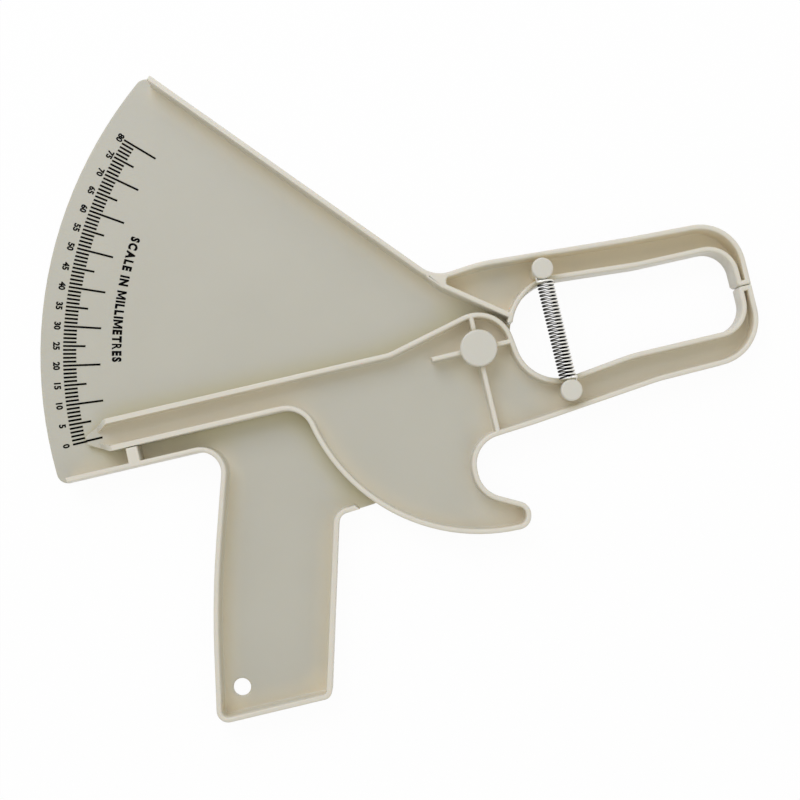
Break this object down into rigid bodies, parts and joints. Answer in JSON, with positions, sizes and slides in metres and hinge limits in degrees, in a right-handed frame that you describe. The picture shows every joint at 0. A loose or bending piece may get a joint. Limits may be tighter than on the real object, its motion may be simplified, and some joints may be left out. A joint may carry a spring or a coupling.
{
  "type": "skinfold caliper",
  "caption": "One-hand plastic skinfold caliper: a scale plate with grip and fixed jaw, a trigger arm with pointer and moving jaw, and an extension spring that closes them.",
  "frame": {"origin": "on the pivot axis, at the flat back of the frame", "axes": "+X from the pivot to the closed jaws, +Y towards the top of the scale sector, +Z out of the open side of the mouldings"},
  "size_m": [0.2807, 0.2527, 0.0191],
  "materials": {
    "shell_plastic": "satin moulded",
    "cap_plastic": "satin moulded",
    "spring_steel": "bright drawn wire",
    "black_print": "printed ink"
  },
  "bodies": {
    "frame": {"frame": "shell_plastic", "pivot_cap": "cap_plastic", "upper_spring_cap": "cap_plastic", "scale_graduations": "black_print"},
    "arm": {"arm": "shell_plastic", "lower_spring_cap": "cap_plastic", "pointer_index": "black_print"},
    "spring": {"spring_coil": "spring_steel"},
    "spring_tail": {"spring_lower_hook": "spring_steel"}
  },
  "joints": [
    {"name": "arm_pivot", "type": "hinge", "parent": "frame", "child": "arm", "pos_m": [0, 0, 0.0073], "axis": [0, 0, -1], "range_deg": [0, 44.1], "stiffness_Nm_per_rad": 0.05, "springref_deg": -22.92},
    {"name": "spring_swing", "type": "hinge", "parent": "frame", "child": "spring", "pos_m": [0.03049, 0.02399, 0.01575], "axis": [0, 0, -1], "range_deg": [0, 22.1]},
    {"name": "spring_stretch", "type": "slide", "parent": "spring", "child": "spring_tail", "axis": [0, -1, 0], "range_m": [0, 0.0195], "deforming": ["spring_coil", "spring_lower_hook"]}
  ],
  "couplings": [
    {"joint": "spring_swing", "follows": "arm_pivot", "ratio": 0.5},
    {"joint": "spring_stretch", "follows": "arm_pivot", "m_per_rad": 0.02519}
  ]
}
